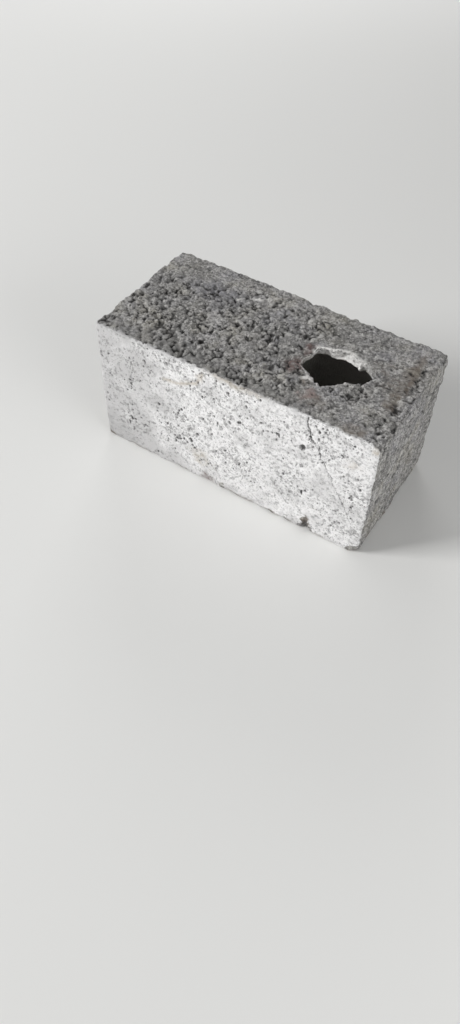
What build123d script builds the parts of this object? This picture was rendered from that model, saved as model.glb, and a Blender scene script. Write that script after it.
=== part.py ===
from build123d import *
import math
import os

# A hollow concrete building block, laid with its closed face up.
# Millimetres; +X along the length, the painted front at -Y, the underside at Z = 0.

# Overall size.
block_length = 390
block_width = 190
block_height = 190

# Walls round the two hollow cores, at the open underside, where they are thinnest.
front_wall = 31
back_wall = 31
end_wall = 31
web_wall = 30
lid_thickness = 14

# Shape of a core: it narrows towards the lid, so that the core bars of the mould pull out.
core_draft = 1.6
core_corner_radius = 28
core_roof_radius = 10
core_mouth_radius = 3

# Rounding of the outer edges: the moulded upright corners, and the arrises of the top and underside.
corner_radius = 4
top_arris_radius = 3
bottom_arris_radius = 2

# The two front corners at the right end are rubbed down to facets.
# Each reaches this far along the length, across the end and up or down.
top_corner_wear = (12, 14, 9)
foot_corner_wear = (14, 10, 13)

# Stones that broke out of the top face left angular bowls: pits in the face (X, Y, reach), and
# chips in its arrises, at both ends (Y, reach) and the back (X, reach).
bed_pits = [
    (-190, -40, 4), (-166, -18, 5), (-160, -78, 5), (-133, 40, 5), (-130, -38, 5), (-111, 49, 4),
    (-101, -81, 5), (-74, -21, 5), (-66, -53, 5), (-63, -40, 4), (-58, 16, 6), (-41, 53, 7),
    (-1, 45, 4), (3, -84, 5), (33, -11, 4), (50, -59, 5), (78, -76, 5), (95, 85, 4),
    (104, -59, 5), (134, -48, 5),
]
right_end_chips = [(-60, 8), (-21, 7)]
left_end_chips = [(-68, 9), (58, 7)]
back_chips = [(8, 10), (62, 9)]

# A bowl's corners lie at these shares of its reach, and its depth and its floor are shares of it
# too. The outline is turned on by an angle from one bowl to the next.
bowl_corners = [1.0, 0.7, 0.9, 0.75, 1.1, 0.65]
bowl_turn = 50
bowl_depth_share = 0.5
bowl_floor_share = 0.45

# The wedge that split off the foot of the front, under a crack: its outline on the face (X, Z)
# from its own place on the foot, and its depth, where its outline has shrunk by the given share.
split_x = 120
split_depth = 7
split_shrink = 0.6
split_outline = [(-8, -2), (-4, 6), (-3, 15), (0, 25), (1, 15), (4, 7), (8, -2)]

# The break through the lid, as corners round its own middle, which is measured from the middle
# of the right-hand core: its rim in the top face, and its root on the roof of the core.
break_offset_x = 5
break_offset_y = -9
break_overrun = 2
break_rim = [
    (-38, -12), (-32, -14), (-24, -19), (-16, -25), (-2, -31), (4, -25), (12, -17), (17, -9),
    (24, -8), (31, -3), (36, 2), (39, 13), (33, 18), (25, 23), (19, 28), (12, 30),
    (5, 31), (-2, 36), (-10, 34), (-18, 29), (-27, 28), (-35, 24), (-34, 6), (-38, -1),
]
break_root = [
    (-43, -15), (-36, -18), (-27, -24), (-18, -30), (-3, -36), (7, -30), (17, -22), (22, -15),
    (28, -12), (35, -6), (40, 1), (42, 13), (36, 25), (27, 31), (19, 34), (12, 31),
    (4, 34), (-4, 35), (-14, 32), (-21, 31), (-28, 33), (-39, 29), (-42, 14), (-45, 1),
]

# Stones left standing in the sides of the break: X and Y from its middle, depth of their own
# middle under the top face, and radius. A stone is a faceted pebble: the heights of its sections
# over its middle, and their reaches, are shares of its radius.
standing_stones = [(18, 30, 8.5, 5), (17, -13, 6, 5)]
stone_profile = [(-1, 0.5), (-0.45, 0.95), (0.45, 0.95), (1, 0.5)]
stone_sides = 8

core_length = (block_length - 2 * end_wall - web_wall) / 2
core_width = block_width - front_wall - back_wall
core_depth = block_height - lid_thickness
core_middle_x = (web_wall + core_length) / 2
core_middle_y = (front_wall - back_wall) / 2


def outer_block():
    """The solid block with rounded corners and arrises."""
    body = Pos(0, 0, block_height / 2) * Box(block_length, block_width, block_height)
    body = fillet(body.edges().filter_by(Axis.Z), corner_radius)
    body = fillet(body.faces().sort_by(Axis.Z)[-1].edges(), top_arris_radius)
    return fillet(body.faces().sort_by(Axis.Z)[0].edges(), bottom_arris_radius)


def core(middle_x):
    """One drafted hollow, with rounded corners and a rounded roof."""
    mouth = RectangleRounded(core_length, core_width, core_corner_radius)
    hollow = extrude(Pos(middle_x, core_middle_y) * mouth, core_depth, taper=core_draft)
    return fillet(hollow.faces().sort_by(Axis.Z)[-1].edges(), core_roof_radius)


def rounded_mouths(body):
    """The block with the rims of its open cores rounded over."""
    underside = body.faces().sort_by(Axis.Z)[0]
    rims = [edge for wire in underside.inner_wires() for edge in wire.edges()]
    return fillet(rims, core_mouth_radius)


def break_section(depth):
    """The ragged outline of the break at one depth under the top face."""
    share = depth / lid_thickness
    middle = Vector(core_middle_x + break_offset_x, core_middle_y + break_offset_y, block_height - depth)
    points = [middle + (x0 + share * (x1 - x0), y0 + share * (y1 - y0))
              for (x0, y0), (x1, y1) in zip(break_rim, break_root)]
    return make_face(Polyline(*points, close=True))


def lid_break():
    """The hole knocked through the lid: at the front its broken side is undercut."""
    root = break_section(lid_thickness + break_overrun)
    rim = break_section(-break_overrun)
    return loft([root, rim], ruled=True)


def stones_in_break():
    """The rounded stones that still stand out of the broken sides."""
    middle_x = core_middle_x + break_offset_x
    middle_y = core_middle_y + break_offset_y
    stones = []
    for x, y, depth, radius in standing_stones:
        middle = Pos(middle_x + x, middle_y + y, block_height - depth)
        sections = [middle * Pos(0, 0, radius * rise) * RegularPolygon(radius * reach, stone_sides)
                    for rise, reach in stone_profile]
        stones.append(loft(sections, ruled=True))
    return stones


def worn_corner(body, height, wear):
    """The block with its front right corner at one height worn to a slanting facet."""
    along, across, upright = wear
    inwards = 1 if height == 0 else -1
    corner = Vector(block_length / 2, -block_width / 2, height)
    a = corner - Vector(along, 0, 0)
    b = corner + Vector(0, across, 0)
    c = corner + Vector(0, 0, inwards * upright)
    out = (b - a).cross(c - a) * inwards
    return split(body, bisect_by=Plane(origin=a, z_dir=out), keep=Keep.BOTTOM)


def bowl_section(x, y, reach, turn, height):
    """The angular outline of a bowl at one height."""
    step = 2 * math.pi / len(bowl_corners)
    points = [(x + reach * share * math.cos(turn + k * step),
               y + reach * share * math.sin(turn + k * step), height)
              for k, share in enumerate(bowl_corners)]
    return make_face(Polyline(*points, close=True))


def stone_bowls():
    """The pits and chips of the top face, each from its mouth down to a smaller floor."""
    end, back = block_length / 2, block_width / 2
    places = bed_pits + [(end, y, reach) for y, reach in right_end_chips]
    places += [(-end, y, reach) for y, reach in left_end_chips]
    places += [(x, back, reach) for x, reach in back_chips]
    bowls = []
    for number, (x, y, reach) in enumerate(places):
        turn = math.radians(number * bowl_turn)
        mouth = bowl_section(x, y, reach, turn, block_height)
        floor_height = block_height - bowl_depth_share * reach
        floor = bowl_section(x, y, bowl_floor_share * reach, turn, floor_height)
        bowls.append(loft([floor, mouth], ruled=True))
    return bowls


def split_section(depth):
    """The outline of the split wedge at one depth behind the front."""
    share = 1 - split_shrink * depth / split_depth
    points = [(split_x + share * x, depth - block_width / 2, share * z) for x, z in split_outline]
    return make_face(Polyline(*points, close=True))


def split_wedge():
    """The wedge split off the foot of the front, narrowing inwards."""
    return loft([split_section(-split_depth), split_section(split_depth)], ruled=True)


def concrete_block():
    """The finished block: two cores under one lid, broken through over the right-hand core."""
    body = outer_block() - core(-core_middle_x) - core(core_middle_x)
    body = worn_corner(rounded_mouths(body), block_height, top_corner_wear)
    body = worn_corner(body, 0, foot_corner_wear)
    body = body - stone_bowls() - split_wedge() - lid_break()
    return body + stones_in_break()


os.makedirs("parts", exist_ok=True)
export_step(concrete_block(), "parts/concrete_block.step")
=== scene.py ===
import itertools
import math
import time

import bmesh
import bpy
import numpy as np
from mathutils import Matrix, Vector, kdtree


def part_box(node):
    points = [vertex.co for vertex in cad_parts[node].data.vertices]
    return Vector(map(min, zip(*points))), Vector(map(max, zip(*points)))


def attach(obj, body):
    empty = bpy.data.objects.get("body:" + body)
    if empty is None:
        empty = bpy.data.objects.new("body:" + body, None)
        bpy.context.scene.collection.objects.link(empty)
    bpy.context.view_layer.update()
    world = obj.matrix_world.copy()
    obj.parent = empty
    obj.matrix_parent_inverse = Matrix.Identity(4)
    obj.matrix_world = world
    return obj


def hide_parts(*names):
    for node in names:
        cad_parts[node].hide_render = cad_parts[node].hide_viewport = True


mm = 0.001
started = time.time()

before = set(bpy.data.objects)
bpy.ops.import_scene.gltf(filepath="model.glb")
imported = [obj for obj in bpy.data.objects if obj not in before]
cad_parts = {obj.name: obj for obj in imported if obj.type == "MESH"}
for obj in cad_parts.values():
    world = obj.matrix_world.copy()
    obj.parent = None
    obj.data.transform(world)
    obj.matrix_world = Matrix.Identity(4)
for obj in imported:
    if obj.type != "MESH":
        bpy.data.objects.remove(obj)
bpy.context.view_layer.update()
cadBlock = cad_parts["concrete_block"]
blockLow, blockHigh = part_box("concrete_block")
leftX, frontY, footZ = (value / mm for value in blockLow)      # the block's faces, in mm
rightX, backY, topZ = (value / mm for value in blockHigh)


def report(words):
    print(f"{time.time() - started:5.1f} s  {words}")


report(f"frame loaded, block {rightX - leftX:.0f} x {backY - frontY:.0f} x {topZ - footZ:.0f} mm")


def ramp(value, low, high):
    # 0 at low, 1 at high, smooth between; low may be the larger
    part = np.clip((value - low) / (high - low), 0, 1)
    return part * part * (3 - 2 * part)


def cellRandom(cells, seed):
    # a repeatable random number from 0 to 1 for each whole-numbered grid cell; in this and in what
    # is built on it, another seed is another pattern
    mixed = (cells[:, 0] * 73856093) ^ (cells[:, 1] * 19349663) ^ (cells[:, 2] * 83492791)
    mixed = (mixed + seed * 1013904223) & 0xFFFFFFFF
    for factor in (0x7FEB352D, 0x846CA68B):
        mixed = ((mixed ^ (mixed >> 15)) * factor) & 0xFFFFFFFF
    return ((mixed ^ (mixed >> 16)) & 0xFFFFFF) / 0xFFFFFF


def softNoise(points, spacing, seed):
    # smooth hills and hollows from -1 to 1, about one spacing apart
    grid = points / spacing
    low = np.floor(grid).astype(np.int64)
    part = grid - low
    part = part * part * (3 - 2 * part)
    total = np.zeros(len(points))
    for corner in itertools.product((0, 1), repeat=3):
        share = np.where(np.array(corner), part, 1 - part).prod(axis=1)
        total += share * cellRandom(low + np.array(corner), seed)
    return 2 * total - 1


def stones(points, spacing, seed):
    # distance to the nearest stone of a random packing, how much further the second one is,
    # and a random tone for each stone
    grid = points / spacing
    low = np.floor(grid).astype(np.int64)
    nearest = np.full(len(points), 9.0)
    second = nearest.copy()
    owner = low.copy()
    for step in itertools.product((-1, 0, 1), repeat=3):
        cell = low + np.array(step)
        centre = cell + np.stack([cellRandom(cell, seed + k) for k in range(3)], axis=1)
        gap = np.sqrt(((grid - centre) ** 2).sum(axis=1))
        closer = gap < nearest
        second = np.where(closer, nearest, np.minimum(second, gap))
        owner[closer] = cell[closer]
        nearest = np.where(closer, gap, nearest)
    return nearest * spacing, (second - nearest) * spacing, cellRandom(owner, seed + 3)


def alongPath(x, z, path):
    # distance in a plane to a bent line, how far along it, from 0 to 1, and on which side, -1 or 1
    best = np.full(len(x), 1e9)
    along = np.zeros(len(x))
    side = np.ones(len(x))
    for k, ((x0, z0), (x1, z1)) in enumerate(zip(path, path[1:])):
        runX, runZ = x1 - x0, z1 - z0
        part = np.clip(((x - x0) * runX + (z - z0) * runZ) / (runX ** 2 + runZ ** 2), 0, 1)
        gap = np.hypot(x - x0 - part * runX, z - z0 - part * runZ)
        closer = gap < best
        along = np.where(closer, (k + part) / (len(path) - 1), along)
        side = np.where(closer, np.where((x - x0) * runZ > (z - z0) * runX, 1, -1), side)
        best = np.minimum(gap, best)
    return best, along, side


# Lengths in every dictionary are in mm.
bed = {                        # the upper face, where coarse grit shows
    "lumpSpacing": 8.0,
    "lumpDepth": 3.0,
    "seamSpacing": 7.0,        # some seams between the lumps gape, others are closed
    "seamWidth": 0.95,
    "seamDepth": 3.0,
    "crumbSpacing": 3.0,       # small crumbs over the lumps, some of them fallen out
    "crumbDepth": 1.3,
    "lostCrumbs": 0.1,         # share of them
    "lostDepth": 2.1,
    "swellSpacing": 18.0,      # the face isn't level over a few centimetres
    "swellDepth": 0.9,
    "roughSpacing": 21.0,      # the roughness changes over this
    "smoothFrom": 80.0,        # y where the smooth strip along the back starts; at the left end
    "smoothWider": 27.0,       # it starts this much nearer to the front
    "looseMiddle": (122, -28), # x and y of the loose stones before the hole
    "looseReach": (28, 16),
}


def bedRelief(points, bend):
    # how deep the upper face lies, how much painted shade lies in its open seams and fallen-out
    # crumbs, and of what tone it is; rough over the left and middle, at the right end and before the
    # hole, and smoother along the back
    x, y = points[:, 0], points[:, 1]
    roughTo = bed["smoothFrom"] - bed["smoothWider"] * ramp(x, -80, -120)
    rough = 0.4 + 0.6 * ramp(x, 90, 35) * ramp(y, roughTo, roughTo - 28)
    rough = np.maximum(rough, 1.2 * ramp(x, 168, 180) * ramp(y, 75, 45))
    looseX, looseY = bed["looseMiddle"]
    rough = np.maximum(rough, ramp(np.hypot(x - looseX, y - looseY), *bed["looseReach"]))
    rough *= 0.9 + 0.4 * softNoise(points, bed["roughSpacing"], 23)
    lump, lumpGap, tone = stones(points + 1.5 * bend, bed["lumpSpacing"], 21)
    dome = np.clip(lump / (0.8 * bed["lumpSpacing"]), 0, 1) ** 2.5
    gaping = ramp(softNoise(points, bed["seamSpacing"], 22), -0.15, 0.4)
    seam = gaping * np.exp(-(lumpGap / bed["seamWidth"]) ** 2)
    crumb, crumbGap, crumbTone = stones(points + 0.6 * bend, bed["crumbSpacing"], 31)
    lost = ramp(crumbTone, 1.0 - bed["lostCrumbs"], 1.02 - bed["lostCrumbs"])
    lost *= ramp(crumbGap, 0.1, 0.8)
    crumbDome = np.clip(crumb / (0.8 * bed["crumbSpacing"]), 0, 1) ** 2
    swell = 0.5 + 0.5 * softNoise(points, bed["swellSpacing"], 24)
    # the crumbs show everywhere, the lumps and their seams only where it is rough
    depth = rough * (bed["lumpDepth"] * dome + bed["seamDepth"] * seam)
    depth += (0.35 + 0.65 * rough) * (bed["crumbDepth"] * crumbDome + bed["lostDepth"] * lost)
    depth += bed["swellDepth"] * swell
    hollow = np.clip(rough * (1.4 * seam + 0.15 * dome) + (0.3 + 0.7 * rough) * lost, 0, 1)
    return depth, hollow, tone


upright = {                    # the moulded faces: sand, blow holes and a slight waviness
    "sandSpacing": 2.6,
    "sandDepth": 0.2,
    "poreSpacing": 3.9,
    "poreRadius": 1.45,
    "poreDepth": 1.9,
    "pitSpacing": 9.0,         # fewer, larger hollows between the pores
    "pitRadius": 2.3,
    "pitDepth": 2.2,
    "crowdSpacing": (30.0, 11.0),   # the pores crowd in areas of these two sizes
    "clodSpacing": 8.5,        # shallow lumps of the bare faces, with gaps between some of them
    "clodDepth": 1.7,
    "clodGapSpacing": 8.0,
    "clodGapWidth": 1.1,
    "clodGapDepth": 2.3,
    "waveSpacing": 38.0,
    "waveDepth": 0.5,
}

frontMarks = {                 # single hollows of the front: x, z, half width, half height, depth
    "hollows": [(103, 139.5, 4.0, 5.2, 2.4), (71, 142, 1.5, 3.8, 2.0), (-121, 161, 1.8, 3.0, 2.0),
                (-149, 51, 2.6, 3.4, 2.2), (-153, 42, 1.8, 5.0, 1.8), (-187, 77, 1.6, 2.4, 2.4),
                (-146, 119, 2.6, 2.2, 2.0), (-79, 33, 1.5, 2.4, 2.6), (-125, 49, 5.5, 1.0, 1.3),
                (-62, 90, 5.5, 0.9, 1.4), (-193, 146, 2.4, 2.8, 2.0), (109, 65, 1.7, 4.6, 2.2),
                (113, 70, 1.5, 2.4, 2.0), (-2, 73, 3.4, 1.5, 2.0), (26, 162, 1.4, 3.0, 1.6)],
    "crack": [(105, 191), (105, 181), (107, 174), (110, 167), (112, 158), (118, 150), (123, 144),
              (127, 134), (133, 127), (138, 117), (143, 112), (146, 103), (151, 95), (156, 90),
              (160, 82), (164, 76), (168, 70), (174, 58)],
    "crackWidth": 1.0,
    "crackDepth": 2.4,
    "crackReach": 6.0,         # further from the crack than this, the distance to it isn't kept
}


def faceRelief(points, bend, onFront):
    # how deep the moulded faces lie, how much painted shade lies in their pores, pits, gaps and
    # hollows, of what tone they are, how crowded their pores are, and the distance to the crack; pores,
    # pits and clods are taller than wide, as the mould drew out upwards
    x, z = points[:, 0], points[:, 2]
    sand = stones(points, upright["sandSpacing"], 51)[0]
    pore, _, poreTone = stones(points * (1, 1, 0.8) + 0.9 * bend, upright["poreSpacing"], 61)
    wide, narrow = upright["crowdSpacing"]
    crowded = 0.78 + 0.3 * softNoise(points, wide, 62) + 0.25 * softNoise(points, narrow, 63)
    # more of them over the middle of the front, fewer along its foot
    crowded += onFront * (0.1 * ramp(x, -120, -60) * ramp(z, 182, 150) - 0.25 * ramp(z, 40, 18))
    poreSize = upright["poreRadius"] * (0.15 + 1.15 * poreTone ** 1.5) * crowded
    poreShape = ramp(pore, poreSize * 1.15, poreSize * 0.55)
    pit, _, pitTone = stones(points * (1, 1, 0.7) + 1.6 * bend, upright["pitSpacing"], 67)
    pitSize = upright["pitRadius"] * (pitTone ** 2 + 0.15) * crowded * (1.15 - 0.4 * onFront)
    pitShape = ramp(pit, pitSize * 1.2, pitSize * 0.5)
    wave = 0.5 + 0.5 * softNoise(points, upright["waveSpacing"], 71)
    depth = upright["sandDepth"] * sand / upright["sandSpacing"]
    depth += np.maximum(upright["poreDepth"] * poreShape, upright["pitDepth"] * pitShape)
    depth += upright["waveDepth"] * wave
    hollow = np.maximum(poreShape * (0.5 + 0.5 * poreTone), pitShape * (0.7 + 0.3 * pitTone))
    clod, clodGap, clodTone = stones(points * (1, 1, 0.8) + 1.5 * bend, upright["clodSpacing"], 73)
    gaping = (1 - onFront) * ramp(softNoise(points, upright["clodGapSpacing"], 77), -0.05, 0.45)
    gapShape = gaping * np.exp(-(clodGap / upright["clodGapWidth"]) ** 2)
    clodDome = np.clip(clod / (0.8 * upright["clodSpacing"]), 0, 1) ** 2
    depth += (1 - onFront) * upright["clodDepth"] * clodDome
    depth += upright["clodGapDepth"] * gapShape
    # the right end is the coarsest of the bare faces
    onEnd = ramp(x, 150, 180) * (1 - onFront)
    hollow = np.maximum(hollow, (0.45 + 0.55 * onEnd) * gapShape)
    for markX, markZ, halfWidth, halfHeight, markDepth in frontMarks["hollows"]:
        away = np.hypot((x - markX + bend[:, 0]) / halfWidth, (z - markZ + bend[:, 2]) / halfHeight)
        mark = onFront * ramp(away, 1.2, 0.5)
        depth = np.maximum(depth, markDepth * mark)
        hollow = np.maximum(hollow, 0.9 * mark)
    gap, along, side = alongPath(x + bend[:, 0], z + bend[:, 2], frontMarks["crack"])
    # it is widest at the top and closes in places further down
    cleft = ramp(along, 1.0, 0.8) * (1 - 0.3 * ramp(along, 0.35, 0.6))
    cleft *= 0.6 + 0.4 * ramp(softNoise(points, 8.0, 64), -0.5, 0.1)
    cleft = np.maximum(cleft, ramp(along, 0.3, 0.2))
    crackShape = np.exp(-(gap / frontMarks["crackWidth"]) ** 2)
    depth += frontMarks["crackDepth"] * onFront * cleft * crackShape
    # the crack's line is finer than the mesh, so the finish draws it, as a dark line of painted
    # shade, where the distance to it changes its sign
    crack = gap + 1.3 * (1 - cleft * onFront) - 0.4 * ramp(along, 0.3, 0.15)
    crack = side * np.minimum(crack, frontMarks["crackReach"])
    tone = np.where(onFront > 0.5, pitTone, 0.5 + (0.55 + 0.45 * onEnd) * (clodTone - 0.5))
    return depth, hollow, tone, crowded, crack


fracture = {                   # the broken lid: stones standing in sandy, newly split concrete
    "stoneSpacing": 6.0,
    "stoneDepth": 2.6,
    "sandSpacing": 2.6,
    "sandDepth": 0.6,
    "rim": [(56, -21), (66, -25), (79, -34), (92, -40), (98, -34), (111, -18), (125, -12), (134, 4),
            (120, 14), (106, 21), (92, 27), (76, 20), (59, 15), (60, -3), (56, -21)],
    "rimStone": 5.2,           # stones loosened round the rim
    "rimSpacing": 7.0,         # some of them, in groups of this size
    "rimDepth": 3.4,
    "rimReach": 6.0,
}


def fractureRelief(points, bend):
    # how deep the sides of the break lie
    chunk = stones(points + 1.5 * bend, fracture["stoneSpacing"], 91)[0]
    sand = stones(points, fracture["sandSpacing"], 95)[0]
    depth = fracture["stoneDepth"] * ramp(chunk, 1.2, 4.4)
    return depth + fracture["sandDepth"] * sand / fracture["sandSpacing"]


def rimRelief(points, bend, facing):
    # how deep the stones round the rim are loosened, and how far the rim is
    gap = alongPath(points[:, 0], points[:, 1], fracture["rim"])[0]
    near = ramp(gap, fracture["rimReach"], 1.0) * ramp(topZ - points[:, 2], 19, 15)
    near *= ramp(facing, -0.7, -0.1)
    stone = stones(points + bend, fracture["rimStone"], 97)[0]
    loosened = ramp(softNoise(points, fracture["rimSpacing"], 99), -0.6, 0.5)
    return near * loosened * fracture["rimDepth"] * ramp(stone, 0.8, 3.6), gap


arris = {                      # the crumbled outer edges
    "reach": 8.0,
    "nibbleSpacing": 8.5,
    "nibbleDepth": 1.5,
    "dipSpacing": 21.0,
    "dipDepth": 2.6,
    "frontShare": 0.35,        # of that wear is seen on the front's own edges, away from the foot
}


def arrisWear(points, edges):
    # how much of the outer edges is gone, less on the edges of the front
    y, z = points[:, 1], points[:, 2]
    nibble = ramp(softNoise(points, arris["nibbleSpacing"], 81), -0.1, 0.8)
    dip = ramp(softNoise(points, arris["dipSpacing"], 83), 0.0, 0.8)
    wear = arris["nibbleDepth"] * nibble + arris["dipDepth"] * dip
    fullWear = np.maximum(ramp(y - frontY, 5, 16), ramp(z - footZ, 14, 5))
    wear *= arris["frontShare"] + (1 - arris["frontShare"]) * fullWear
    return wear * ramp(edges, arris["reach"], 0)


# Where the concrete is stained, bare of limewash, chalky or darkened by painted shade: middle of
# each patch, then its half sizes along x, y and z.
soiling = {
    "soilAndFootShade": [(171, 22, 190, 9, 64, 20), (172, -28, 190, 10, 14, 20), (156, -86, 190, 16, 10, 12),
             (155, 25, 200, 50, 75, 10), (73, -44, 190, 9, 9, 8), (96, -66, 197, 26, 16, 9),
             (120, -95, 12, 7, 10, 17), (-29, -95, 9, 11, 6, 9)],
    "bare": [(120, -95, 1, 14, 9, 10), (119, -95, 14, 5, 9, 14), (190, -92, 2, 12, 16, 13),
             (67, -95, 0, 12, 8, 5), (-194, -95, 1, 14, 8, 7), (-122, -95, 0, 8, 8, 4),
             (-6, -95, 4, 4, 8, 6), (12, -95, 0, 9, 8, 4), (94, -95, 0, 7, 8, 4), (-64, -95, 0, 9, 8, 3)],
    "iron": [(49, -25, 190, 15, 16, 7), (49, 8, 190, 9, 13, 7), (-30, -95, 9, 9, 6, 7)],
    "rose": [(87, -59, 190, 10, 10, 8), (80, -72, 197, 14, 8, 9)],
    "ochre": [(-38, -101, 40, 26, 8, 20), (165, -102, 145, 14, 8, 12), (190, -93, 185, 8, 8, 8),
              (8, -99, 188, 50, 8, 8), (-38, -98, 175, 6, 8, 9)],
    "slate": [(-105, 40, 190, 48, 24, 8), (58, -47, 190, 10, 10, 8), (130, 48, 190, 14, 8, 8)],
    # painted shade: the front strip of the upper face and the front's lower left are darkened
    "dampAndShade": [(-110, -84, 190, 100, 20, 9), (20, -86, 190, 90, 17, 9), (-195, -95, 8, 60, 9, 46)],
    "chalk": [(72, -38, 190, 8, 6, 6), (113, 21, 186, 6, 6, 8), (111, -20, 190, 6, 5, 5),
              (182, -81, 190, 4, 4, 5), (-71, 44, 195, 5, 5, 7), (-52, 57, 195, 7, 4, 7),
              (-42, 64, 195, 7, 5, 7), (-178, -43, 195, 5, 5, 7)],
}

dribble = {                    # a thin line of dirty water down the front
    "path": [(-92, 147), (-75, 149), (-60, 155), (-45, 162), (-40, 170), (-36, 181)],
    "width": 2.2,
}


def soilMasks(points, bend):
    # how strongly each kind shows at each point, from 0 to 1, with broken borders
    masks = {}
    broken = 0.45 + 0.55 * ramp(softNoise(points, 4.5, 17) + 0.5 * softNoise(points, 12.0, 18), -0.7, 0.6)
    for name, patches in soiling.items():
        mask = np.zeros(len(points))
        for patch in patches:
            away = (points - patch[:3] + 3.0 * bend) / patch[3:]
            mask = np.maximum(mask, ramp(np.sqrt((away ** 2).sum(axis=1)), 1.25, 0.45))
        masks[name] = mask * broken
    gap = alongPath(points[:, 0] + bend[:, 0], points[:, 2] + bend[:, 2], dribble["path"])[0]
    line = np.exp(-(gap / dribble["width"]) ** 2) * ramp(points[:, 1] - frontY, 8, 4)
    masks["ochre"] = np.maximum(masks["ochre"], line)
    # painted shade: a dark, ragged band along the foot, in the soil colour
    footShade = ramp(points[:, 2] + 2 * bend[:, 1], 6, 1) * ramp(softNoise(points, 8.0, 16), -0.2, 0.4)
    masks["soilAndFootShade"] = np.maximum(masks["soilAndFootShade"], footShade)
    return masks


castSkin = {
    "grid": 0.85,              # spacing of the fine mesh that the relief is cut into
    "triangles": 196000,       # what is left of it at the end
    "keepFront": 1.0,          # how firmly the triangles of the front, the right end and the
    "keepEnd": 0.6,            # upper face are kept, from 0 to 1
    "keepTop": 0.5,
    "keepStrength": 6e-5,      # what that counts for against the shape
    "liftOff": 0.12,           # keeps the skin just inside the drawn block
    "bendSpacing": (5.0, 2.2), # the outlines of stones and pores wander at these two sizes
    "toneSpacing": 3.0,        # grain where no stones are drawn
}

zones = {                      # where each kind of surface fades out, from the block's own faces
    "walls": (16, 12),
    "top": (9, 4),
    "front": (12, 4),
    "lid": (17, 14),           # the sides of the break, down to the underside of the lid
    "mouth": (1, 4),           # above the mouths of the cores
}


def relief(points, normals):
    # how deep each point of the skin lies under the drawn block, in mm, and what is seen there
    x, y, z = points.T
    inX = np.minimum(x - leftX, rightX - x)
    inY = np.minimum(y - frontY, backY - y)
    inZ = np.minimum(z - footZ, topZ - z)
    edges = np.sort(np.stack([inX, inY, inZ], axis=1), axis=1)[:, 1]
    # each kind of surface, from 0 to 1, by the way it faces and how near the block's faces it is
    notUnder = ramp(-normals[:, 2], 0.9, 0.6)
    byWalls = ramp(np.minimum(inX, inY), *zones["walls"])
    onTop = ramp(normals[:, 2], 0.3, 0.75) * ramp(topZ - z, *zones["top"])
    onFront = ramp(-normals[:, 1], 0.4, 0.85) * ramp(y - frontY, *zones["front"])
    onSides = np.clip(byWalls - onTop, 0, 1) * notUnder
    lidLow, lidHigh = (topZ - down for down in zones["lid"])
    broken = (1 - byWalls) * (1 - onTop) * ramp(z, lidLow, lidHigh) * notUnder
    mouthLow, mouthHigh = (footZ + up for up in zones["mouth"])
    inside = (1 - byWalls) * (1 - onTop) * (1 - broken) * ramp(z, mouthLow, mouthHigh)
    # newly split concrete is pale; painted light makes it paler on the side of the break that faces the
    # front and towards the break's left end
    litFromFront = ramp(-normals[:, 1], -0.2, 0.6)
    freshAndLit = broken * ramp(topZ - z, 0.8, 3.0) * (0.3 + 0.7 * litFromFront) * (0.5 + 0.5 * ramp(x, 120, 104))
    freshAndLit *= 0.7 + 0.3 * softNoise(points, 5.0, 19)
    large, small = castSkin["bendSpacing"]
    bend = np.stack([softNoise(points, large, seed) + 0.5 * softNoise(points, small, seed + 3)
                     for seed in (11, 12, 13)], axis=1)

    depth = np.full(len(points), castSkin["liftOff"])
    hollow = np.zeros(len(points))
    crack = np.full(len(points), frontMarks["crackReach"])
    pinholes = np.full(len(points), 0.5)
    tone = cellRandom(np.floor(points / castSkin["toneSpacing"]).astype(np.int64), 7)
    top, sides, split = onTop > 0, onSides > 0, broken > 0
    bedDepth, bedHollowShade, bedTone = bedRelief(points[top], bend[top])
    depth[top] += onTop[top] * bedDepth
    hollow[top] = onTop[top] * bedHollowShade
    faceDepth, faceHollowShade, tone[sides], crowded, crack[sides] = faceRelief(
        points[sides], bend[sides], onFront[sides])
    depth[sides] += onSides[sides] * faceDepth
    hollow[sides] = np.maximum(hollow[sides], onSides[sides] * faceHollowShade)
    pinholes[sides] = np.clip(crowded, 0, 1.3)
    # the stones are paler right of the hole
    tone[top] = bedTone + 0.14 * ramp(x[top], 98, 118) * ramp(x[top], 166, 150)
    depth[split] += broken[split] * fractureRelief(points[split], bend[split])
    rimDepth, rimGap = rimRelief(points, bend, normals[:, 2])
    depth += arrisWear(points, edges) * byWalls + rimDepth
    # the hollows along the worn corner of the front get little painted shade
    hollow *= 1 - 0.8 * ramp(np.hypot(x - 191, y + 91), 12, 6)
    # painted shade: the limewash is drawn darker towards the left end, over the lower left and along the
    # foot; it is also thin in patches all over
    thinWashAndShade = 0.9 * ramp(x, -50, -140) + 0.8 * ramp(z, 50, 6) * ramp(x, 0, -100) + 0.3 * ramp(z, 16, 2)
    thinWashAndShade += 0.6 * softNoise(points, 26.0, 15) + 0.3 * softNoise(points, 10.0, 20)
    soiled = soilMasks(points, bend)
    # crushed concrete lies behind the rim
    crushed = ramp(rimGap, 9, 2) * ramp(y, 3, 10) * ramp(x, 120, 108) * ramp(topZ - z, 20, 16)
    soiled["chalk"] = np.maximum(soiled["chalk"], crushed)
    return depth, {"hollow": hollow, "freshAndLit": freshAndLit, "inside": inside, "tone": tone,
                   "pinholes": pinholes, "thinWashAndShade": np.clip(thinWashAndShade, 0, 1), "crack": crack, **soiled}


def meshPoints(mesh, attribute="co"):
    flat = np.zeros(len(mesh.vertices) * 3, np.float32)
    mesh.vertices.foreach_get(attribute, flat)
    return flat.reshape(-1, 3).astype(float)


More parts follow.
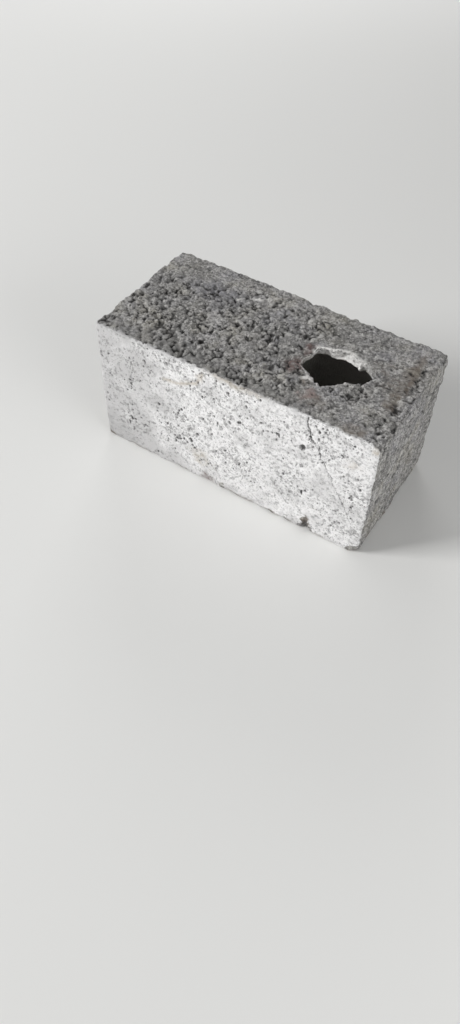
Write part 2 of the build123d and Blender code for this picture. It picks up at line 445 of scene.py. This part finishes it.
def withModifier(mesh, kind, name, **settings):
    # the mesh that one modifier makes of another mesh
    worker = bpy.data.objects.new(name, mesh)
    bpy.context.scene.collection.objects.link(worker)
    modifier = worker.modifiers.new(name, kind)
    for setting, value in settings.items():
        setattr(modifier, setting, value)
    evaluated = worker.evaluated_get(bpy.context.evaluated_depsgraph_get())
    made = bpy.data.meshes.new_from_object(evaluated)
    bpy.data.objects.remove(worker)
    return made


def thinned(skin):
    # fewer triangles, with most of them left where the block is seen
    x, y, z = (meshPoints(skin) / mm).T
    fine = castSkin["keepTop"] * ramp(topZ - z, 14, 8)
    fine = np.maximum(fine, castSkin["keepFront"] * ramp(y - frontY, 12, 8))
    fine = np.maximum(fine, castSkin["keepEnd"] * ramp(rightX - x, 12, 8))
    worker = bpy.data.objects.new("thinSkin", skin)
    bpy.context.scene.collection.objects.link(worker)
    coarse = worker.vertex_groups.new(name="coarse")
    for level in range(1, 11):
        here = np.flatnonzero(np.round(10 - 9 * fine) == level)
        coarse.add(here.tolist(), level / 10, "REPLACE")
    modifier = worker.modifiers.new("thinSkin", "DECIMATE")
    modifier.ratio = castSkin["triangles"] / (2 * len(skin.polygons))
    modifier.use_collapse_triangulate = True
    modifier.vertex_group = "coarse"
    modifier.vertex_group_factor = castSkin["keepStrength"]
    made = bpy.data.meshes.new_from_object(worker.evaluated_get(bpy.context.evaluated_depsgraph_get()))
    bpy.data.objects.remove(worker)
    return made


def withoutSpecks(skin):
    # drops the odd specks that the remeshing leaves beside the block: every point takes the lowest
    # number it can reach along the edges, and the number that most points have is the block's
    ends = np.zeros(len(skin.edges) * 2, np.int32)
    skin.edges.foreach_get("vertices", ends)
    starts, ends = ends.reshape(-1, 2).T
    shell = np.arange(len(skin.vertices))
    while True:
        lowest = shell.copy()
        np.minimum.at(lowest, starts, shell[ends])
        np.minimum.at(lowest, ends, shell[starts])
        lowest = lowest[lowest]
        if (lowest == shell).all():
            break
        shell = lowest
    specks = np.flatnonzero(shell != np.bincount(shell).argmax())
    work = bmesh.new()
    work.from_mesh(skin)
    work.verts.ensure_lookup_table()
    bmesh.ops.delete(work, geom=[work.verts[k] for k in specks], context="VERTS")
    work.to_mesh(skin)
    work.free()
    report(f"{len(specks)} points in specks dropped")


def castBlock():
    voxels = {"mode": "VOXEL", "voxel_size": castSkin["grid"] * mm, "use_smooth_shade": True}
    skin = withModifier(cadBlock.data.copy(), "REMESH", "evenGrid", **voxels)
    report(f"even skin with {len(skin.vertices)} points")
    points = meshPoints(skin) / mm
    normals = meshPoints(skin, "normal")
    depth, seen = relief(points, normals)
    room = castSkin["liftOff"] * mm
    low, high = np.array(blockLow) + room, np.array(blockHigh) - room
    sunk = np.clip((points - normals * depth[:, None]) * mm, low, high)
    skin.vertices.foreach_set("co", sunk.astype(np.float32).ravel())
    skin.update()
    report("relief cut")
    # a second pass closes the places where the cut skin ran through itself
    skin = withModifier(skin, "REMESH", "cleanSkin", **voxels)
    report(f"clean skin with {len(skin.vertices)} points")
    skin = thinned(skin)
    withoutSpecks(skin)
    report(f"thinned to {len(skin.polygons)} triangles")
    # what is seen at each point is read back from the nearest point of the fine skin
    finder = kdtree.KDTree(len(sunk))
    for k, place in enumerate(sunk):
        finder.insert(place, k)
    finder.balance()
    nearest = [finder.find(vertex.co)[1] for vertex in skin.vertices]
    for name, values in seen.items():
        layer = skin.attributes.new(name, "FLOAT", "POINT")
        layer.data.foreach_set("value", values[nearest].astype(np.float32))
    skin.shade_smooth()
    block = bpy.data.objects.new("cast_block", skin)
    bpy.context.scene.collection.objects.link(block)
    report("block cast")
    return block


def linear(hexColour):
    # sRGB hex to the linear values that a shader takes
    parts = [int(hexColour[k:k + 2], 16) / 255 for k in (1, 3, 5)]
    return [p / 12.92 if p <= 0.04045 else ((p + 0.055) / 1.055) ** 2.4 for p in parts] + [1.0]


def addNode(tree, kind, links, **settings):
    # adds a node, sets its properties, then feeds or sets its inputs by name or number
    node = tree.nodes.new(kind)
    for setting, value in settings.items():
        setattr(node, setting, value)
    for socket, source in links.items():
        if isinstance(source, bpy.types.NodeSocket):
            tree.links.new(source, node.inputs[socket])
        else:
            node.inputs[socket].default_value = source
    return node


def layCoats(tree, colour, coats):
    # lays coats over a colour: the hex colour of each, what decides where it lies, the values of
    # that where it is absent and where it is full, and how much of what is under it a full one hides
    for hexColour, where, absent, full, most in coats:
        amount = addNode(tree, "ShaderNodeMapRange",
                         {"Value": where, "From Min": absent, "From Max": full, "To Max": most})
        mixed = addNode(tree, "ShaderNodeMix", {0: amount.outputs[0], 6: colour, 7: linear(hexColour)},
                        data_type="RGBA")
        colour = mixed.outputs[2]
    return colour


finish = {
    "concrete": "#9D9B99",         # bare block concrete
    "warm": "#A39F93",             # its tint changes over a few centimetres
    "cool": "#98989F",
    # darker concrete: damp clouds all over, and painted shade in the patches named with it
    "dampAndShade": "#7D7C7A",
    "grainPale": "#CFCDCA",
    "grainDark": "#4E4D4C",
    # painted shade, for pores, pinholes, open seams, hollows and the crack
    "hollowDark": "#2A2928",
    "inside": "#B4B1AC",           # clean concrete, where no weather came
    "limewash": "#F6F5F5",
    "limewashThin": "#C5C4C4",
    "limewashBare": "#7C7B7B",     # where the brush missed a rough spot
    "fracture": "#E4E2DF",
    "fractureStone": "#FAF9F7",
    # soil stains, and the painted shade along the foot
    "soilAndFootShade": "#6B6055",
    "iron": "#5A4340",
    "rose": "#8F7E7A",
    "ochre": "#BBB1A2",
    "slate": "#75757C",
    "chalk": "#E6E4E1",
    "roughness": 0.92,             # cement and lime are matt
    "ior": 1.5,
    "grainSpacing": 1.9,           # coarse sand; sizes in mm, from here on
    "mottleSpacing": 4.4,          # fine gravel that shows through
    "cloudSpacing": 45.0,          # damper areas
    "hueSpacing": 30.0,
    "patchSpacing": 8.0,           # dabs of the brush
    "streakSpacing": 2.6,          # across faint streaks
    "streakDraw": 0.15,            # and their width as a share of their length
    "pinholeSpacing": 2.9,
    "pinholeSize": 1.0,            # radius of the largest
    "pinholeBend": 1.6,            # how far their outlines wander
    "crackWander": 2.4,            # how far the crack's line wanders, from side to side
    "washLap": 3.6,                # how far the limewash goes round the front's edges
    "washRagged": 7.0,             # how far that varies
    "washBorder": 1.3,             # half the width over which it thins out
    "washBare": 14.0,              # the same way, where the front is bare
    "gritSpacing": 1.6,            # fine sand, drawn coarser than it is so that it shows
    "gritHeight": 1.25,
}


def limewashedConcrete():
    # dry-cast block concrete: matt, grey and granular, with sand grains lighter and darker than the
    # cement. Limewash on the front gives a chalky white that leaves pores and pinholes grey.
    # painted shade darkens the pores, pinholes, seams, hollows and the crack
    material = bpy.data.materials.new("limewashed dry-cast concrete")
    material.use_nodes = True
    tree = material.node_tree
    shader = tree.nodes["Principled BSDF"]
    place = addNode(tree, "ShaderNodeTexCoord", {}).outputs["Object"]
    seen = {name: addNode(tree, "ShaderNodeAttribute", {}, attribute_name=name).outputs["Fac"]
            for name in ("hollow", "freshAndLit", "inside", "tone", "pinholes", "thinWashAndShade", "crack", *soiling)}
    # the mould drew out upwards, so the faint streaks of the sides are long that way
    drawn = addNode(tree, "ShaderNodeMapping",
                    {"Vector": place, "Scale": (1, 1, finish["streakDraw"])}).outputs[0]
    grit = addNode(tree, "ShaderNodeTexNoise",
                   {"Vector": place, "Scale": 1 / (finish["gritSpacing"] * mm)})
    bent = addNode(tree, "ShaderNodeVectorMath",
                   {0: grit.outputs["Color"], 1: [finish["pinholeBend"] * mm] * 3, 2: place},
                   operation="MULTIPLY_ADD").outputs[0]
    noises = {}
    for name, where, detail in (("cloudSpacing", place, 4.0), ("hueSpacing", place, 3.0),
                                ("patchSpacing", place, 5.0), ("streakSpacing", drawn, 1.0),
                                ("gritSpacing", place, 2.0), ("mottleSpacing", place, 3.0)):
        settings = {"Vector": where, "Scale": 1 / (finish[name] * mm), "Detail": detail}
        noises[name] = addNode(tree, "ShaderNodeTexNoise", settings).outputs["Fac"]
    cells = {name: addNode(tree, "ShaderNodeTexVoronoi",
                           {"Vector": where, "Scale": 1 / (finish[name] * mm)})
             for name, where in (("grainSpacing", place), ("pinholeSpacing", bent))}
    grain, pin = (addNode(tree, "ShaderNodeSeparateColor", {"Color": cell.outputs["Color"]}).outputs
                  for cell in cells.values())

    # bare concrete: hues and damp over centimetres, stones, sand, streaks, then stains
    colour = layCoats(tree, linear(finish["concrete"]), [
        (finish["warm"], noises["hueSpacing"], 0.5, 0.64, 0.8),
        (finish["cool"], noises["hueSpacing"], 0.5, 0.36, 0.5),
        (finish["dampAndShade"], noises["cloudSpacing"], 0.58, 0.36, 0.9),
        (finish["grainPale"], seen["tone"], 0.65, 1.0, 0.5),
        (finish["grainDark"], seen["tone"], 0.3, 0.0, 0.4),
        (finish["grainPale"], grain[0], 0.55, 0.95, 0.65),
        (finish["grainDark"], grain[1], 0.55, 0.95, 0.62),
        (finish["grainDark"], noises["mottleSpacing"], 0.52, 0.72, 0.6),
        (finish["grainPale"], noises["mottleSpacing"], 0.48, 0.28, 0.6),
        (finish["grainDark"], noises["streakSpacing"], 0.52, 0.72, 0.45),
        # painted shade along the upper face's front strip
        (finish["dampAndShade"], seen["dampAndShade"], 0.0, 1.0, 0.7),
        (finish["slate"], seen["slate"], 0.0, 1.0, 0.5),
        # soil stains and the painted shade along the foot
        (finish["soilAndFootShade"], seen["soilAndFootShade"], 0.0, 1.0, 0.8),
        (finish["iron"], seen["iron"], 0.0, 1.0, 0.85),
        (finish["rose"], seen["rose"], 0.0, 1.0, 0.85),
        (finish["chalk"], seen["chalk"], 0.0, 0.8, 0.9),
    ])

    # the limewash covers what lies within a lap of the front, with a ragged border, but for spots
    # where it came off
    behind = addNode(tree, "ShaderNodeSeparateXYZ", {"Vector": place}).outputs["Y"]
    behind = addNode(tree, "ShaderNodeMath",
                     {0: seen["bare"], 1: finish["washBare"] * mm, 2: behind},
                     operation="MULTIPLY_ADD").outputs[0]
    ragged = addNode(tree, "ShaderNodeMath",
                     {0: noises["patchSpacing"], 1: finish["washRagged"] * mm, 2: behind},
                     operation="MULTIPLY_ADD")
    border = (frontY + finish["washLap"] + 0.5 * finish["washRagged"]) * mm
    soft = finish["washBorder"] * mm
    cover = addNode(tree, "ShaderNodeMapRange",
                    {"Value": ragged.outputs[0], "From Min": border + soft, "From Max": border - soft})
    # the brush missed more where the pores crowd
    missed = addNode(tree, "ShaderNodeMath", {0: seen["pinholes"], 1: 0.12, 2: noises["mottleSpacing"]},
                     operation="MULTIPLY_ADD")
    white = layCoats(tree, linear(finish["limewash"]), [
        # painted shade towards the left end, over the lower left and along the foot, and thin limewash in
        # patches
        (finish["limewashThin"], seen["thinWashAndShade"], 0.0, 1.0, 0.95),
        (finish["limewashThin"], noises["patchSpacing"], 0.5, 0.3, 0.5),
        (finish["limewashThin"], grain[0], 0.6, 1.0, 0.8),
        (finish["limewashBare"], missed.outputs[0], 0.62, 0.79, 0.68),
        # painted shade over the front's lower left and along its top edge
        (finish["limewashBare"], seen["dampAndShade"], 0.0, 1.0, 0.4),
        (finish["ochre"], seen["ochre"], 0.0, 1.0, 0.75),
        # soil stains and the painted shade along the foot
        (finish["soilAndFootShade"], seen["soilAndFootShade"], 0.0, 1.0, 0.55),
        (finish["iron"], seen["iron"], 0.1, 0.9, 0.85),
    ])
    coated = addNode(tree, "ShaderNodeMix",
                     {0: cover.outputs[0], 6: colour, 7: white}, data_type="RGBA")
    # the pale split concrete, with its painted light, laid over the coated concrete
    freshAndLit = layCoats(tree, linear(finish["fracture"]),
                     [(finish["fractureStone"], grain[2], 0.4, 0.9, 1.0)])
    opened = addNode(tree, "ShaderNodeMix",
                     {0: seen["freshAndLit"], 6: coated.outputs[2], 7: freshAndLit}, data_type="RGBA")
    # pinholes are too small for the mesh: painted shade as dark dots, of another size in each cell
    largest = finish["pinholeSize"] / finish["pinholeSpacing"]
    size = addNode(tree, "ShaderNodeMath", {0: seen["pinholes"], 1: pin[0]}, operation="MULTIPLY")
    pinhole = addNode(tree, "ShaderNodeMath",
                      {0: size.outputs[0], 1: -largest, 2: cells["pinholeSpacing"].outputs["Distance"]},
                      operation="MULTIPLY_ADD")
    # the crack wanders by half a millimetre or so, and its painted shade is drawn where its two sides
    # meet
    wander = addNode(tree, "ShaderNodeMath",
                     {0: noises["gritSpacing"], 1: finish["crackWander"], 2: seen["crack"]},
                     operation="MULTIPLY_ADD")
    crackGap = addNode(tree, "ShaderNodeMath",
                       {0: wander.outputs[0], 1: finish["crackWander"] / 2}, operation="SUBTRACT")
    crackGap = addNode(tree, "ShaderNodeMath", {0: crackGap.outputs[0]}, operation="ABSOLUTE")
    # painted shade darkens the pinholes, the crack's line and the hollows; the cores' inside is clean
    # concrete
    colour = layCoats(tree, opened.outputs[2], [
        (finish["hollowDark"], pinhole.outputs[0], 0.05, -0.05, 0.68),
        (finish["inside"], seen["inside"], 0.0, 1.0, 0.9),
        (finish["hollowDark"], crackGap.outputs[0], 0.95, 0.3, 0.85),
        (finish["hollowDark"], seen["hollow"], 0.05, 0.8, 0.88),
    ])
    tree.links.new(colour, shader.inputs["Base Color"])
    shader.inputs["Roughness"].default_value = finish["roughness"]
    shader.inputs["IOR"].default_value = finish["ior"]
    bump = addNode(tree, "ShaderNodeBump",
                   {"Height": noises["gritSpacing"], "Distance": finish["gritHeight"] * mm})
    tree.links.new(bump.outputs[0], shader.inputs["Normal"])
    return material


studio = {
    "floorHalf": 6000,         # mm from the middle to the edge of the floor
    "floorFade": (1300, 3200), # from there, in mm, it passes into the backdrop
    "floorColour": "#EAEAE8",
    "worldColour": "#FFFFFF",
    "worldLight": 0.22,        # strength that the block is lit with
    "worldSeen": 0.8,          # strength that is seen past the floor
    "lamps": {                 # place in mm, side in mm, power in watts
        "key": ((-2700, -2300, 1850), 1300, 128.0),
        "fill": ((1750, -450, 700), 1200, 15.0),
        "back": ((-1700, 2500, 1300), 1500, 26.0),
    },
}


def looking(tree):
    # 1 where the camera, a reflection or a refraction looks, 0 where light is gathered
    rays = addNode(tree, "ShaderNodeLightPath", {}).outputs
    looked = rays["Is Camera Ray"]
    for other in ("Is Glossy Ray", "Is Transmission Ray"):
        looked = addNode(tree, "ShaderNodeMath", {0: looked, 1: rays[other]}, operation="ADD").outputs[0]
    return looked


def studioPaper():
    # matt background paper, flat and even without a sheen, that is swept up into the backdrop
    material = bpy.data.materials.new("matt studio paper")
    material.use_nodes = True
    tree = material.node_tree
    paper = tree.nodes["Principled BSDF"]
    paper.inputs["Base Color"].default_value = linear(studio["floorColour"])
    paper.inputs["Roughness"].default_value = 0.9
    place = addNode(tree, "ShaderNodeTexCoord", {}).outputs["Object"]
    far = addNode(tree, "ShaderNodeVectorMath", {0: place}, operation="LENGTH").outputs["Value"]
    start, end = studio["floorFade"]
    faded = addNode(tree, "ShaderNodeMapRange",
                    {"Value": far, "From Min": start * mm, "From Max": end * mm},
                    interpolation_type="SMOOTHSTEP")
    faded = addNode(tree, "ShaderNodeMath",
                    {0: faded.outputs[0], 1: looking(tree)}, operation="MULTIPLY")
    backdrop = addNode(tree, "ShaderNodeEmission",
                       {"Color": linear(studio["worldColour"]), "Strength": studio["worldSeen"]})
    swept = addNode(tree, "ShaderNodeMixShader",
                    {0: faded.outputs[0], 1: paper.outputs[0], 2: backdrop.outputs[0]})
    tree.links.new(swept.outputs[0], tree.nodes["Material Output"].inputs["Surface"])
    return material


def makeFloor():
    half = studio["floorHalf"] * mm
    corners = [(-half, -half, 0), (half, -half, 0), (half, half, 0), (-half, half, 0)]
    mesh = bpy.data.meshes.new("floor")
    mesh.from_pydata(corners, [], [(0, 1, 2, 3)])
    mesh.materials.append(studioPaper())
    floor = bpy.data.objects.new("floor", mesh)
    bpy.context.scene.collection.objects.link(floor)


def makeLights():
    world = bpy.data.worlds.new("studio")
    world.use_nodes = True
    tree = world.node_tree
    strength = addNode(tree, "ShaderNodeMapRange",
                       {"Value": looking(tree), "To Min": studio["worldLight"],
                        "To Max": studio["worldSeen"]})
    sky = tree.nodes["Background"]
    sky.inputs["Color"].default_value = linear(studio["worldColour"])
    tree.links.new(strength.outputs[0], sky.inputs["Strength"])
    bpy.context.scene.world = world
    target = Vector((0, 0, topZ / 2 * mm))
    for name, (place, side, power) in studio["lamps"].items():
        lamp = bpy.data.lights.new(name, "AREA")
        lamp.size = side * mm
        lamp.energy = power
        holder = bpy.data.objects.new(name, lamp)
        bpy.context.scene.collection.objects.link(holder)
        holder.location = Vector(place) * mm
        holder.rotation_euler = (target - holder.location).to_track_quat("-Z", "Y").to_euler()


view = {
    "place": (366.9, -688.1, 799.9),   # mm, from which the block is seen at the photo's angle
    "aim": (66.4, -190.0, 95.0),
    "roll": -2.03,                      # degrees
    "lens": 28.2,                       # mm
    "sensor": 36.0,                     # mm, its long side
    "nearest": 20.0,                    # mm, where the view starts
}


def makeCamera():
    lens = bpy.data.cameras.new("camera")
    lens.lens = view["lens"]
    lens.sensor_width = view["sensor"]
    lens.clip_start = view["nearest"] * mm
    camera = bpy.data.objects.new("camera", lens)
    bpy.context.scene.collection.objects.link(camera)
    place = Vector(view["place"]) * mm
    ahead = (Vector(view["aim"]) * mm - place).normalized()
    level = ahead.cross(Vector((0, 0, 1))).normalized()
    right = Matrix.Rotation(math.radians(view["roll"]), 3, ahead) @ level
    up = right.cross(ahead)
    axes = Matrix((right, up, -ahead)).transposed().to_4x4()
    camera.matrix_world = Matrix.Translation(place) @ axes
    bpy.context.scene.camera = camera


block = castBlock()
block.data.materials.clear()
block.data.materials.append(limewashedConcrete())
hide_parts("concrete_block")
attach(block, "root")
report("block finished")

makeFloor()
makeLights()
makeCamera()
bpy.context.scene.view_settings.view_transform = "Standard"
report("studio ready")
